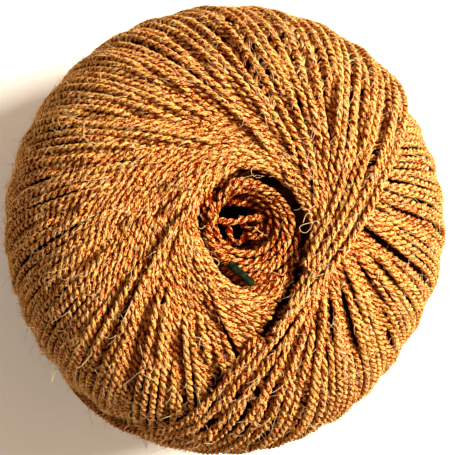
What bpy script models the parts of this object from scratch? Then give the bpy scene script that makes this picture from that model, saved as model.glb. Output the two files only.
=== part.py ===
"""A centre-pull ball of coir twine, standing on its flat spot, with its taped inner end lying in the mouth.

Units are metres, +Z is up, and the origin is the centre of the flat spot that the ball rests on.

Every turn of the twine is close to a plane loop through the ball's middle. It passes the axis at the same
distance above and below, and the next turn lies a little clockwise of it. The helpers below use that rule to
place the edge of the last turns, the spiral of the mouth and the broad ridges of the winding.
"""

import math

import bpy
from mathutils import Vector

# Ball
BALL_RADIUS = 0.065
MIDDLE_HEIGHT = 0.0485
TOP_HALF_HEIGHT = 0.0500
LOWER_HALF_HEIGHT = 0.0495
ROUNDNESS = 2.8
COLUMNS = 104
ROW_STEP = 0.0044

# Mouth, from the bottom of the pull hole out to the crest of the lip, as rows of (radius, height)
PULL_HOLE = [
    (0.0000, 0.0520),
    (0.0040, 0.0524),
    (0.0060, 0.0550),
    (0.0067, 0.0610),
    (0.0067, 0.0710),
    (0.0070, 0.0810),
    (0.0074, 0.0875),
]
LEDGE = [(0.0081, 0.0908), (0.0094, 0.0923), (0.0112, 0.0934)]
GROOVE = [(0.0118, 0.0924), (0.0121, 0.0894), (0.0132, 0.0890)]
LIP = [(0.0137, 0.0938), (0.0141, 0.0966), (0.0154, 0.0979), (0.0180, 0.0986)]
TOP_STARTS_AT = 0.0218
HOLE_SHIFT = Vector((-0.0009, 0.0007, 0.0))
HOLE_SHIFT_ENDS = (0.0085, 0.0125)

# Groove between the ledge and the lip, as angles. Left of both ends the ledge runs straight into the lip.
GROOVE_STARTS = (math.radians(-72), math.radians(-48))
GROOVE_ENDS = (math.radians(100), math.radians(132))
FILLED_GROOVE_HEIGHT = 0.0938

# Edge of the mouth, as rows of (angle in degrees, radius). It runs out to a point where the last turn crosses.
LIP_RADIUS = 0.0140
LIP_EDGE = [
    (0, 0.0145),
    (25, 0.0135),
    (60, 0.0136),
    (90, 0.0145),
    (115, 0.0152),
    (140, 0.0147),
    (180, 0.0139),
    (215, 0.0135),
    (245, 0.0142),
    (262, 0.0165),
    (272, 0.0196),
    (280, 0.0240),
    (287, 0.0221),
    (298, 0.0196),
    (315, 0.0174),
    (335, 0.0157),
    (360, 0.0145),
]
LIP_MOVES_FROM = (0.0086, 0.0114)
LIP_MOVES_TO = (0.0160, 0.0400)
TAIL_RISE = 0.3
TAIL_STARTS_AT = 0.0055

# Underside
FLAT_INNER_RADIUS = 0.0120
DIMPLE = [(0.0090, 0.0024), (0.0050, 0.0043), (0.0000, 0.0050)]
RELIEF_STARTS_ABOVE = (0.0020, 0.0160)

# Side that was pressed a little flat
PRESSED_AT = math.radians(-36)
PRESSED_WIDTH = math.radians(40)
PRESSED_DEPTH = 0.0022
PRESSED_FROM = (0.030, 0.058)

# Winding. A turn comes in towards the mouth, passes it, and goes out again, each half with its own offset.
OUTGOING_OFFSET = 0.024
OUTGOING_ENDS_AT = math.radians(-41)
INCOMING_OFFSET = 0.019
INCOMING_ENDS_AT = math.radians(-36)
MOUTH_TIP_AT = math.radians(-80)
LAYER = 0.0017
LAST_EDGE_WIDTH = math.radians(6)
RIDGES = 32
RIDGE_HEIGHT = 0.0007
RIDGE_SWING = 0.9
RIDGE_BLEND = 0.15
RIDGES_FADE_IN = (0.020, 0.042)
LIP_RISES_OVER = (-0.0006, 0.0016)

# Loose end
TWINE_DIAMETER = 0.0020
ROUTE_STEP = 0.0020
ROUTE = [
    (0.0030, 0.0014, 0.0790),
    (0.0031, 0.0016, 0.0830),
    (0.0030, 0.0019, 0.0868),
    (0.0025, 0.0022, 0.0900),
    (0.0009, 0.0021, 0.0921),
    (-0.0016, 0.0015, 0.0930),
    (-0.0042, 0.0009, 0.0932),
    (-0.0067, 0.0009, 0.0938),
    (-0.0089, 0.0012, 0.0948),
    (-0.0108, 0.0009, 0.0955),
    (-0.0118, -0.0008, 0.0956),
    (-0.0117, -0.0031, 0.0955),
    (-0.0108, -0.0052, 0.0953),
    (-0.0096, -0.0070, 0.0952),
    (-0.0082, -0.0086, 0.0952),
    (-0.0067, -0.0099, 0.0953),
]

# Tape on the tip
TAPE_DIAMETER = 0.0023
TAPE_LENGTH = 0.0086
TAPE_EDGE = 0.0003
TAPE_DIRECTION = Vector((0.745, -0.665, 0.035)).normalized()
GAP = 0.0004

# Finishes, as colour, roughness and metallic
TWINE_FINISH = ((0.46, 0.24, 0.08, 1.0), 0.85, 0.0)
TAPE_FINISH = ((0.02, 0.06, 0.035, 1.0), 0.45, 0.0)


def smooth(low, high, value):
    """0 below low, 1 above high, and an even slope between."""
    t = min(max((value - low) / (high - low), 0.0), 1.0)
    return t * t * (3 - 2 * t)


def clear_scene():
    for obj in list(bpy.data.objects):
        bpy.data.objects.remove(obj, do_unlink=True)


def finish(name, look):
    colour, roughness, metallic = look
    material = bpy.data.materials.new(name)
    material.use_nodes = True
    shader = material.node_tree.nodes["Principled BSDF"]
    shader.inputs["Base Color"].default_value = colour
    shader.inputs["Roughness"].default_value = roughness
    shader.inputs["Metallic"].default_value = metallic
    return material


def add_object(name, data, collection, material):
    obj = bpy.data.objects.new(name, data)
    collection.objects.link(obj)
    obj.data.materials.append(material)
    return obj


def even_rows(points, step):
    """The points again, about step apart along the line through them."""
    along = [0.0]
    for a, b in zip(points, points[1:]):
        along.append(along[-1] + math.dist(a, b))
    count = max(2, round(along[-1] / step))
    rows, at = [], 0
    for i in range(count + 1):
        want = along[-1] * i / count
        while at < len(points) - 2 and along[at + 1] < want:
            at += 1
        part = (want - along[at]) / max(along[at + 1] - along[at], 1e-12)
        rows.append(tuple(a + (b - a) * part for a, b in zip(points[at], points[at + 1])))
    return rows


def body_height(radius, half):
    """Height of the plain drum above or below its middle at a radius."""
    return half * (1 - (radius / BALL_RADIUS) ** ROUNDNESS) ** (1 / ROUNDNESS)


def outer_rows():
    """Rows down the outside, from the top round the middle to the flat spot."""
    top = body_height(TOP_STARTS_AT, TOP_HALF_HEIGHT)
    fine = [(TOP_STARTS_AT, MIDDLE_HEIGHT + top)]
    steps = 400
    for i in range(1, steps):
        angle = math.pi * (0.5 - i / steps)
        power = 2 / ROUNDNESS
        half = TOP_HALF_HEIGHT if angle > 0 else LOWER_HALF_HEIGHT
        radius = BALL_RADIUS * math.cos(angle) ** power
        height = MIDDLE_HEIGHT + math.copysign(half * abs(math.sin(angle)) ** power, angle)
        if angle > 0 and radius <= TOP_STARTS_AT:
            continue
        if height <= 0:
            break
        fine.append((radius, height))
    share = MIDDLE_HEIGHT / LOWER_HALF_HEIGHT
    fine.append((BALL_RADIUS * (1 - share**ROUNDNESS) ** (1 / ROUNDNESS), 0.0))
    fine.append((FLAT_INNER_RADIUS, 0.0))
    return even_rows(fine, ROW_STEP)


def swing(radius, height, offset, nearest):
    """Angle between a point and the place where the turn through it passes nearest to the axis."""
    away = offset * height / TOP_HALF_HEIGHT
    if away < radius:
        return max(math.acos(max(away / radius, -1.0)), nearest)
    return nearest


def turn_ages(x, y, height):
    """How far back the two turns over a point were laid, outgoing and incoming, each as an angle back from the last."""
    radius = max(math.hypot(x, y), 1e-6)
    around = math.atan2(y, x)
    near = smooth(0.75 * OUTGOING_OFFSET, OUTGOING_OFFSET, radius) if height > 0 else 1.0
    out = swing(radius, height, OUTGOING_OFFSET, (MOUTH_TIP_AT - OUTGOING_ENDS_AT) * (1 - near))
    back = swing(radius, height, INCOMING_OFFSET, INCOMING_ENDS_AT - MOUTH_TIP_AT if height > 0 else 0.0)
    full = 2 * math.pi
    return (around - out - OUTGOING_ENDS_AT) % full, (around + back - INCOMING_ENDS_AT) % full


def laid(age):
    """1 on the turn laid last, falling to 0 on the turn laid one round before it."""
    full = 2 * math.pi
    edge = smooth(full - LAST_EDGE_WIDTH, full, age)
    return 1 - age / full + edge * age / full


def lip_edge(around):
    """Radius of the mouth's edge at an angle."""
    degrees = math.degrees(around) % 360
    for (start, low), (end, high) in zip(LIP_EDGE, LIP_EDGE[1:]):
        if degrees <= end:
            return low + (high - low) * smooth(start, end, degrees)
    return LIP_EDGE[-1][1]


def groove_share(around):
    """1 where the groove is at its full depth, 0 where the ledge runs straight into the lip."""
    return smooth(*GROOVE_STARTS, around) * (1 - smooth(*GROOVE_ENDS, around))


def pressed(point):
    """The point moved in where the side of the ball is a little flat."""
    radius = math.hypot(point.x, point.y)
    away = abs((math.atan2(point.y, point.x) - PRESSED_AT + math.pi) % (2 * math.pi) - math.pi)
    depth = PRESSED_DEPTH * (1 - smooth(0.0, PRESSED_WIDTH, away)) * smooth(*PRESSED_FROM, radius)
    scale = 1 - depth / max(radius, PRESSED_DEPTH)
    return Vector((point.x * scale, point.y * scale, point.z))


def ridge_wave(age):
    """The broad waves of the winding, 1 on a crest and -1 in a hollow, for turns of one age."""
    return math.cos(RIDGES * age + RIDGE_SWING * math.sin(5 * age))


def relief(point, radius):
    """How far the winding stands out of the plain body at a point, given its radius before the mouth was shaped."""
    height = point.z - MIDDLE_HEIGHT
    ages = turn_ages(point.x, point.y, height)
    lip = smooth(*LIP_RISES_OVER, radius - LIP_RADIUS) if height > 0 else 1.0
    foot = smooth(*RELIEF_STARTS_ABOVE, point.z)
    level = LAYER * (laid(ages[0]) + laid(ages[1]) - 1)
    share = smooth(-RIDGE_BLEND, RIDGE_BLEND, ages[1] - ages[0])
    ridge = ridge_wave(ages[0]) * share + ridge_wave(ages[1]) * (1 - share)
    ridge *= RIDGE_HEIGHT * smooth(*RIDGES_FADE_IN, math.hypot(point.x, point.y))
    return (level * lip + ridge) * foot


def in_mouth_shape(point):
    """The point moved to where the off-centre pull hole, the groove and the edge of the mouth put it."""
    radius = math.hypot(point.x, point.y)
    if point.z < MIDDLE_HEIGHT or radius < 1e-9:
        return point + HOLE_SHIFT * (point.z > MIDDLE_HEIGHT)
    around = math.atan2(point.y, point.x)
    height = point.z
    if LEDGE[-1][0] < radius < LIP[0][0]:
        height += (FILLED_GROOVE_HEIGHT - height) * (1 - groove_share(around))
    reach = smooth(*LIP_MOVES_FROM, radius) * (1 - smooth(*LIP_MOVES_TO, radius))
    move = (lip_edge(around) - LIP_RADIUS) * reach
    scale = (radius + move) / radius
    follow = smooth(LIP_RADIUS - 0.001, LIP_RADIUS + 0.001, radius)
    slope = body_height(radius + move, TOP_HALF_HEIGHT) - body_height(radius, TOP_HALF_HEIGHT)
    rise = slope * follow + TAIL_RISE * max(move - TAIL_STARTS_AT, 0.0) * (1 - follow)
    hole = HOLE_SHIFT * (1 - smooth(*HOLE_SHIFT_ENDS, radius))
    return Vector((point.x * scale, point.y * scale, height + rise)) + hole


def turned_body(rows, name, collection):
    """The mesh of a profile turned round the Z axis."""
    profile = bpy.data.meshes.new(name)
    edges = [(i, i + 1) for i in range(len(rows) - 1)]
    profile.from_pydata([(radius, 0.0, height) for radius, height in rows], edges, [])
    guide = bpy.data.objects.new(name, profile)
    collection.objects.link(guide)
    screw = guide.modifiers.new("turn", "SCREW")
    screw.axis = "Z"
    screw.steps = COLUMNS
    screw.render_steps = COLUMNS
    screw.use_merge_vertices = True
    screw.merge_threshold = 0.00001
    bpy.context.view_layer.update()
    graph = bpy.context.evaluated_depsgraph_get()
    mesh = bpy.data.meshes.new_from_object(guide.evaluated_get(graph))
    bpy.data.objects.remove(guide, do_unlink=True)
    bpy.data.meshes.remove(profile)
    return mesh


def build_ball(collection):
    rows = PULL_HOLE + LEDGE + GROOVE + LIP + outer_rows() + DIMPLE
    mesh = turned_body(rows, "ball_profile", collection)
    moved = []
    for vertex in mesh.vertices:
        point = in_mouth_shape(vertex.co)
        point += Vector(vertex.normal) * relief(point, math.hypot(vertex.co.x, vertex.co.y))
        point.z = max(point.z, 0.0)
        moved.append(pressed(point))
    for vertex, point in zip(mesh.vertices, moved):
        vertex.co = point
    mesh.name = "twine_ball"
    mesh.shade_smooth()
    return add_object("twine_ball", mesh, collection, finish("wound_twine", TWINE_FINISH))


def smooth_route(points, step):
    """Points about step apart on a smooth curve through the route's own points."""
    ends = [2 * points[0] - points[1], *points, 2 * points[-1] - points[-2]]
    fine = []
    for a, b, c, d in zip(ends, ends[1:], ends[2:], ends[3:]):
        for i in range(12):
            t = i / 12
            fine.append(
                0.5 * (2 * b + (c - a) * t + (2 * a - 5 * b + 4 * c - d) * t**2 + (3 * b - a - 3 * c + d) * t**3)
            )
    fine.append(points[-1])
    return [Vector(p) for p in even_rows([tuple(p) for p in fine], step)]


def build_loose_end(collection):
    line = smooth_route([Vector(p) for p in ROUTE], ROUTE_STEP)
    curve = bpy.data.curves.new("loose_end", "CURVE")
    curve.dimensions = "3D"
    curve.bevel_depth = TWINE_DIAMETER / 2
    curve.bevel_resolution = 2
    curve.use_fill_caps = True
    spline = curve.splines.new("POLY")
    spline.points.add(len(line) - 1)
    for node, point in zip(spline.points, line):
        node.co = (*point, 1.0)
    return add_object("loose_end", curve, collection, finish("loose_twine", TWINE_FINISH))


def build_tape(collection):
    bpy.ops.mesh.primitive_cylinder_add(vertices=20, radius=TAPE_DIAMETER / 2, depth=TAPE_LENGTH)
    obj = bpy.context.object
    for owner in list(obj.users_collection):
        owner.objects.unlink(obj)
    collection.objects.link(obj)
    obj.name = obj.data.name = "end_tape"
    obj.data.materials.append(finish("green_tape", TAPE_FINISH))
    bevel = obj.modifiers.new("soft_edges", "BEVEL")
    bevel.width = TAPE_EDGE
    bevel.segments = 2
    obj.location = Vector(ROUTE[-1]) + TAPE_DIRECTION * (GAP + TAPE_LENGTH / 2)
    obj.rotation_mode = "QUATERNION"
    obj.rotation_quaternion = TAPE_DIRECTION.to_track_quat("Z", "Y")
    obj.data.shade_smooth()
    obj.data.set_sharp_from_angle(angle=math.radians(40))
    return obj


def main():
    clear_scene()
    collection = bpy.data.collections.new("ball_of_coir_twine")
    bpy.context.scene.collection.children.link(collection)
    build_ball(collection)
    build_loose_end(collection)
    build_tape(collection)


main()
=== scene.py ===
"""Dressed model of a centre-pull ball of coir twine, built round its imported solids.

The ball is wound here from single turns of two-ply twine. Each turn is a nearly plane loop near the ball's
middle, and the next older one lies a little anticlockwise of it, seen from above. Turns are laid from the
newest inwards: a newer turn keeps its place on the form of the ball, and an older one dips under it. What
nothing can see is left out.

Lengths are in millimetres until a mesh is made. Those of the lamps, the floor and the camera are in metres.
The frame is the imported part's own.
"""

from __future__ import annotations

import logging
import math
from dataclasses import dataclass, field
from enum import Enum, IntEnum
from typing import NamedTuple

import bpy
import numpy as np
from mathutils import Matrix, Vector


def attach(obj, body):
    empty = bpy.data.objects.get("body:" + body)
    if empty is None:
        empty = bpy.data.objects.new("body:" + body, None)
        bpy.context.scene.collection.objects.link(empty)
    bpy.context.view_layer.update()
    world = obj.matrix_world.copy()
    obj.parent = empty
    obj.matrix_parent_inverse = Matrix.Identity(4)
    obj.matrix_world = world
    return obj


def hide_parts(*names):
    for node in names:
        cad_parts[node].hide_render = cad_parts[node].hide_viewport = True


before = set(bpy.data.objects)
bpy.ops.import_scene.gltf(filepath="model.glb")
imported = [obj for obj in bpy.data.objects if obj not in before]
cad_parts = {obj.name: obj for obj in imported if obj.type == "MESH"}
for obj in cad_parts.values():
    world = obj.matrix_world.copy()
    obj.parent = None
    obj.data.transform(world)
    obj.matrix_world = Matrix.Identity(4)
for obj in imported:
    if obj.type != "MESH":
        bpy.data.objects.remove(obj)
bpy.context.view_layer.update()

LOG = logging.getLogger("twine_ball")
MM = 0.001
FULL_TURN = 2 * math.pi

Array = np.ndarray
Colour = tuple[float, float, float]
Stretch = tuple[float, float, float]
Socket = bpy.types.NodeSocket


class Slot(Enum):
    """The record's material slots."""

    WOUND = "wound_twine"
    LOOSE = "loose_twine"
    TAPE = "green_tape"


class Corners(IntEnum):
    """Corners in the section of a ply or a fibre, by how closely it is seen."""

    CORD = 8
    UPPER = 5
    LOWER = 4
    FIBRE = 3


def smooth(low: float, high: float, value: Array) -> Array:
    """An even slope from 0 at the low value to 1 at the high one."""
    t = np.clip((np.asarray(value, float) - low) / (high - low), 0.0, 1.0)
    return t * t * (3 - 2 * t)


def ripple(place: Array, *waves: tuple[float, float, float]) -> Array:
    """A sum of sine waves, each given by its height, how fast it swings along the place, and its phase."""
    return sum(height * np.sin(rate * place + phase) for height, rate, phase in waves)


def unit(vectors: Array) -> Array:
    """Vectors scaled to a length of 1."""
    return vectors / np.maximum(np.linalg.norm(vectors, axis=-1, keepdims=True), 1e-12)


def heading(line: Array) -> Array:
    """The direction of a line at each of its points."""
    return unit(np.gradient(line, axis=0))


def square_to(way: Array, vectors: Array) -> Array:
    """Vectors turned square to a direction, and scaled to a length of 1."""
    return unit(vectors - way * (vectors * way).sum(1, keepdims=True))


def travelled(line: Array) -> Array:
    """Distance along a line at each of its points."""
    return np.concatenate([[0.0], np.cumsum(np.linalg.norm(np.diff(line, axis=0), axis=1))])


def off_axis(points: Array) -> Array:
    """Distance of points from the ball's axis."""
    return np.hypot(points[:, 0], points[:, 1])


def azimuth(points: Array) -> Array:
    """Angle of points about the ball's axis."""
    return np.arctan2(points[:, 1], points[:, 0])


def wrapped(angle: Array) -> Array:
    """Angles brought to within half a turn of 0."""
    return np.mod(angle + math.pi, FULL_TURN) - math.pi


def spun(vectors: Array, angle: Array) -> Array:
    """Vectors turned about the ball's axis.

    Args:
        vectors: The vectors, one a row.
        angle: The angle for each of them.

    Returns:
        The turned vectors.
    """
    c, s = np.cos(angle), np.sin(angle)
    x, y, z = vectors.T
    return np.stack([x * c - y * s, x * s + y * c, z], axis=1)


def spans(mask: Array) -> list[tuple[int, int]]:
    """First and last-plus-one place of each stretch where a mask is true."""
    edges = np.flatnonzero(np.diff(np.concatenate([[0], mask.astype(int), [0]])))
    return list(zip(edges[::2], edges[1::2]))


def evenly(points: Array, step: float) -> Array:
    """A line's points spread evenly, both ends among them.

    Args:
        points: The line's own points.
        step: About how far apart the new ones lie.

    Returns:
        The new points.
    """
    along = travelled(points)
    want = np.linspace(0, along[-1], max(2, round(along[-1] / step) + 1))
    return np.stack([np.interp(want, along, points[:, axis]) for axis in range(3)], axis=1)


def flowing(points: tuple[tuple[float, float, float], ...], step: float) -> Array:
    """A smooth curve through a short list of points, read about a step apart.

    Args:
        points: The route's own points.
        step: Distance between the points returned.

    Returns:
        Points on the curve.
    """
    route = np.array(points, float)
    ends = np.concatenate([[2 * route[0] - route[1]], route, [2 * route[-1] - route[-2]]])
    t = np.linspace(0, 1, 12, endpoint=False)[:, None]
    fine = []
    for a, b, c, d in zip(ends, ends[1:], ends[2:], ends[3:]):
        bow, twist = 2 * a - 5 * b + 4 * c - d, 3 * b - a - 3 * c + d
        fine.append(0.5 * (2 * b + (c - a) * t + bow * t**2 + twist * t**3))
    return evenly(np.concatenate([*fine, route[-1:]]), step)


def skin(rows: int, columns: int) -> Array:
    """Triangles between rings of points, without the ends.

    Args:
        rows: How many rings there are.
        columns: How many points each has.

    Returns:
        Triangles, as rows of three point numbers.
    """
    first = np.arange(rows - 1)[:, None] * columns
    here, there = first + np.arange(columns)[None], first + (np.arange(columns)[None] + 1) % columns
    one = np.stack([here, there, there + columns], axis=-1).reshape(-1, 3)
    two = np.stack([here, there + columns, here + columns], axis=-1).reshape(-1, 3)
    return np.concatenate([one, two])


def closed_skin(rows: int, columns: int) -> Array:
    """Triangles over rings of points, with both ends shut.

    Args:
        rows: How many rings there are.
        columns: How many points each has.

    Returns:
        Triangles, as rows of three point numbers.
    """
    fan = np.arange(1, columns - 1)
    start = np.stack([np.zeros_like(fan), fan + 1, fan], axis=1)
    return np.concatenate([skin(rows, columns), start, start[:, [0, 2, 1]] + (rows - 1) * columns])


def tube(line: Array, out: Array, thick: Array, sides: int) -> tuple[Array, Array, Array]:
    """A closed tube along a line.

    Args:
        line: Points along its middle.
        out: A direction across the line at each point, where the first corner lies.
        thick: Radius at each point.
        sides: Corners of its section.

    Returns:
        Points, triangles, and the angle of each point round the tube.
    """
    way = heading(line)
    first = square_to(way, out)
    second = np.cross(way, first)
    angle = np.arange(sides) * FULL_TURN / sides
    ring = first[:, None] * np.cos(angle)[None, :, None] + second[:, None] * np.sin(angle)[None, :, None]
    points = (line[:, None] + ring * thick[:, None, None]).reshape(-1, 3)
    return points, closed_skin(len(line), sides), np.tile(angle, len(line))


def placed(name: str, data: bpy.types.ID) -> bpy.types.Object:
    """Makes an object and puts it in the scene.

    Args:
        name: The object's name.
        data: Its mesh, lamp or camera.

    Returns:
        The object.
    """
    obj = bpy.data.objects.new(name, data)
    bpy.context.scene.collection.objects.link(obj)
    return obj


@dataclass
class Surface:
    """A mesh being gathered: its points, faces and what its material reads at each point."""

    points: list[Array] = field(default_factory=list)
    faces: list[Array] = field(default_factory=list)
    yarn: list[Array] = field(default_factory=list)
    look: list[Array] = field(default_factory=list)
    count: int = 0

    def add(self, points: Array, faces: Array, yarn: Array, look: Array) -> None:
        """Adds a closed body.

        Args:
            points: Its points, in millimetres.
            faces: Its triangles, as rows of three point numbers.
            yarn: At each point, the place along the fibre and round it.
            look: At each point, how high it stands on the ply, which paints a highlight on the plies' crowns
                and shade between them, the turn's tone, and how deep it lies, which paints shade.
        """
        self.points.append(points)
        self.faces.append(faces + self.count)
        self.yarn.append(yarn)
        self.look.append(look)
        self.count += len(points)

    def make(self, name: str, material: bpy.types.Material, slot: Slot) -> bpy.types.Object:
        """Makes the object, which rides on the part.

        Args:
            name: The object's name.
            material: Its finish.
            slot: Not used; the material slot that it would take after.

        Returns:
            The new object.
        """
        points, faces = np.concatenate(self.points) * MM, np.concatenate(self.faces)
        mesh = bpy.data.meshes.new(name)
        mesh.vertices.add(len(points))
        mesh.vertices.foreach_set("co", points.astype(np.float32).ravel())
        mesh.loops.add(faces.size)
        mesh.loops.foreach_set("vertex_index", faces.astype(np.int32).ravel())
        mesh.polygons.add(len(faces))
        mesh.polygons.foreach_set("loop_start", np.arange(0, faces.size, 3, dtype=np.int32))
        mesh.update(calc_edges=True)
        for label, rows in (("yarn", self.yarn), ("look", self.look)):
            layer = mesh.attributes.new(label, "FLOAT_VECTOR", "POINT")
            layer.data.foreach_set("vector", np.concatenate(rows).astype(np.float32).ravel())
        mesh.validate()
        mesh.shade_smooth()
        mesh.materials.append(material)
        obj = placed(name, mesh)
        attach(obj, "root")
        return obj


@dataclass
class Run:
    """A stretch of twine that shows: its line, what it lies on, and what its mesh and material need."""

    line: Array
    out: Array
    along: Array
    # How deep it lies; the material paints it darker the deeper, as painted shade.
    depth: Array
    tone: float
    corners: Corners = Corners.UPPER


@dataclass(frozen=True)
class Twine:
    """Two plies in an S twist."""

    lay: float = 4.9
    ply_radius: float = 0.60
    ply_offset: float = 0.41
    slips: tuple[tuple[float, float], ...] = ((0.5, 1 / 11.0), (0.25, 1 / 4.3))
    swells: tuple[tuple[float, float], ...] = ((0.08, 1 / 6.1), (0.07, 1 / 2.3))
    loosens: tuple[float, float] = (0.10, 1 / 3.7)
    seeds: float = 900.0

    @property
    def radius(self) -> float:
        """Radius over both plies."""
        return self.ply_radius + self.ply_offset

    def spin(self, run: Run, up: Array, rng: np.random.Generator, target: Surface) -> None:
        """Adds a length of twine to a mesh.

        Args:
            run: The stretch.
            up: How far it is moved from where it was laid.
            rng: Source of its small differences.
            target: The mesh that takes it.
        """
        line, along, corners = run.line + up, run.along, run.corners
        way = heading(line)
        normal = square_to(way, run.out)
        across = np.cross(way, normal)
        start = rng.uniform(0, FULL_TURN)
        slip = ripple(along, (*self.slips[0], rng.uniform(0, FULL_TURN)), (*self.slips[1], start))
        for ply in range(2):
            turn = start + ply * math.pi - FULL_TURN * along / self.lay + slip
            phase = rng.uniform(0, FULL_TURN, 3)
            swell = 1 + ripple(along, *((*wave, at) for wave, at in zip(self.swells, phase)))
            loose = 1 + ripple(along, (*self.loosens, phase[2]))
            away = normal * np.cos(turn)[:, None] + across * np.sin(turn)[:, None]
            middle = line + away * (self.ply_offset * loose)[:, None]
            points, faces, angle = tube(middle, away, self.ply_radius * swell, corners)
            seed = rng.uniform(0, self.seeds)
            place = np.repeat(along, corners) + seed
            yarn = np.stack([place, np.cos(angle) + seed * 0.1, np.sin(angle)], axis=1)
            # Painted light: lighter on the crown of each ply, darker in the valley between the plies, where
            # shade falls.
            crown_light = 0.5 + 0.5 * np.cos(angle)
            look = np.stack([crown_light, np.full_like(crown_light, run.tone), np.repeat(run.depth, corners)], axis=1)
            target.add(points, faces, yarn, look)


@dataclass(frozen=True)
class BallForm:
    """The wound form, as the solids have it: a drum with rounded shoulders, lifted by the turns' order."""

    radius: float = 65.0
    middle: float = 48.5
    upper: float = 50.0
    lower: float = 49.5
    roundness: float = 2.8
    layer: float = 1.7
    outgoing_offset: float = 24.0
    outgoing_end: float = math.radians(-41)
    outgoing_blend: float = 0.75
    incoming_offset: float = 19.0
    incoming_end: float = math.radians(-36)
    tip_angle: float = math.radians(-80)
    pressed_at: float = math.radians(-36)
    pressed_width: float = math.radians(40)
    pressed_depth: float = 2.2
    pressed_from: tuple[float, float] = (30.0, 58.0)

    @property
    def up(self) -> Array:
        """From the ball's middle to the frame."""
        return np.array([0.0, 0.0, self.middle])

    def pressed(self, points: Array) -> Array:
        """Points moved in where the side of the ball is a little flat.

        Args:
            points: Points from the axis or from the middle.

        Returns:
            The moved points.
        """
        radius = off_axis(points)
        away = np.abs(wrapped(azimuth(points) - self.pressed_at))
        depth = self.pressed_depth * (1 - smooth(0, self.pressed_width, away))
        depth = depth * smooth(*self.pressed_from, radius)
        scale = 1 - depth / np.maximum(radius, self.pressed_depth)
        return points * np.stack([scale, scale, np.ones_like(scale)], axis=1)

    def surface(self, way: Array) -> tuple[Array, Array]:
        """The plain drum in given directions from its middle.

        Args:
            way: Directions, one a row.

        Returns:
            Points from the middle, and outward normals.
        """
        n = self.roundness
        half = np.where(way[:, 2] > 0, self.upper, self.lower)
        flat = off_axis(way)
        reach = ((flat / self.radius) ** n + (np.abs(way[:, 2]) / half) ** n) ** (-1 / n)
        points = way * reach[:, None]
        side = (flat * reach) ** (n - 2) / self.radius**n
        rise = np.abs(points[:, 2]) ** (n - 1) * np.sign(points[:, 2]) / half**n
        return points, unit(np.stack([points[:, 0] * side, points[:, 1] * side, rise], axis=1))

    def height(self, radius: Array) -> Array:
        """Height of the drum's top above its middle at a radius."""
        n = self.roundness
        return self.upper * np.maximum(1 - (radius / self.radius) ** n, 0) ** (1 / n)

    def level(self, points: Array) -> Array:
        """How far the order of the turns lifts the surface.

        Args:
            points: Points from the middle.

        Returns:
            Height over the plain drum, as the solids have it.
        """
        radius, around = np.maximum(off_axis(points), 1e-6), azimuth(points)
        top = points[:, 2] > 0
        blend = smooth(self.outgoing_blend * self.outgoing_offset, self.outgoing_offset, radius)
        least_out = (self.tip_angle - self.outgoing_end) * (1 - np.where(top, blend, 1.0))
        least_in = np.where(top, self.incoming_end - self.tip_angle, 0.0)

        def swing(offset: float, least: Array) -> Array:
            """Angle from a point to where its turn passes nearest to the axis."""
            share = offset * points[:, 2] / self.upper / radius
            return np.where(share < 1, np.maximum(np.arccos(np.clip(share, -1, 1)), least), least)

        out = np.mod(around - swing(self.outgoing_offset, least_out) - self.outgoing_end, FULL_TURN)
        back = np.mod(around + swing(self.incoming_offset, least_in) - self.incoming_end, FULL_TURN)
        return self.layer * (1 - (out + back) / FULL_TURN)


class MouthStep(NamedTuple):
    """Where the turns of one age lie at the upper mouth: age in degrees, nearest to the axis, and highest."""

    age: float
    offset: float
    top: float


MOUTH_STEPS = (
    MouthStep(0, 16.3, 98.7),
    MouthStep(40, 15.7, 98.7),
    MouthStep(58, 14.5, 98.7),
    MouthStep(104, 14.5, 98.7),
    MouthStep(141, 15.7, 98.6),
    MouthStep(180, 15.4, 98.5),
    MouthStep(220, 14.9, 98.4),
    MouthStep(245, 14.7, 98.2),
    MouthStep(262, 15.4, 97.8),
    MouthStep(277, 17.0, 97.0),
    MouthStep(291, 18.2, 96.0),
    MouthStep(303, 18.8, 95.1),
    MouthStep(323, 18.2, 94.3),
    MouthStep(343, 13.5, 94.0),
    MouthStep(363, 9.8, 93.8),
    MouthStep(383, 8.3, 93.7),
    MouthStep(740, 8.0, 93.5),
)


class EdgePoint(NamedTuple):
    """A point of the mouth's edge: angle in degrees, and distance from the axis."""

    angle: float
    radius: float


MOUTH_EDGE = (
    EdgePoint(0, 15.0),
    EdgePoint(17, 13.7),
    EdgePoint(63, 13.7),
    EdgePoint(81, 14.2),
    EdgePoint(100, 14.9),
    EdgePoint(140, 14.7),
    EdgePoint(180, 14.0),
    EdgePoint(205, 13.8),
    EdgePoint(221, 14.5),
    EdgePoint(236, 16.1),
    EdgePoint(250, 17.4),
    EdgePoint(262, 18.4),
    EdgePoint(272, 20.3),
    EdgePoint(280, 24.0),
    EdgePoint(287, 22.1),
    EdgePoint(298, 19.9),
    EdgePoint(315, 18.0),
    EdgePoint(335, 16.4),
    EdgePoint(350, 15.4),
    EdgePoint(360, 15.0),
)


class BendPoint(NamedTuple):
    """How far a turn swings out of its plane at a radius, in degrees on its way out and on its way back."""

    radius: float
    out: float
    back: float


BENDS = (
    BendPoint(0, 0.0, 0.0),
    BendPoint(16, 0.0, 0.0),
    BendPoint(20, 1.5, 1.2),
    BendPoint(25, 4.0, 3.2),
    BendPoint(30, 6.5, 5.6),
    BendPoint(36, 8.3, 7.0),
    BendPoint(43, 9.5, 7.0),
    BendPoint(50, 9.8, 6.0),
    BendPoint(57, 9.6, 4.6),
    BendPoint(65, 9.0, 3.2),
)

LAST_BENDS = (
    BendPoint(0, 0.0, 0.0),
    BendPoint(16, 0.0, 0.0),
    BendPoint(20, 0.3, 0.0),
    BendPoint(25, 1.5, 0.0),
    BendPoint(30, 3.2, -0.3),
    BendPoint(35, 4.4, -0.8),
    BendPoint(42, 5.1, -2.0),
    BendPoint(50, 4.5, -4.2),
    BendPoint(57, 3.6, -6.3),
    BendPoint(65, 2.7, -7.5),
)


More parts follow.
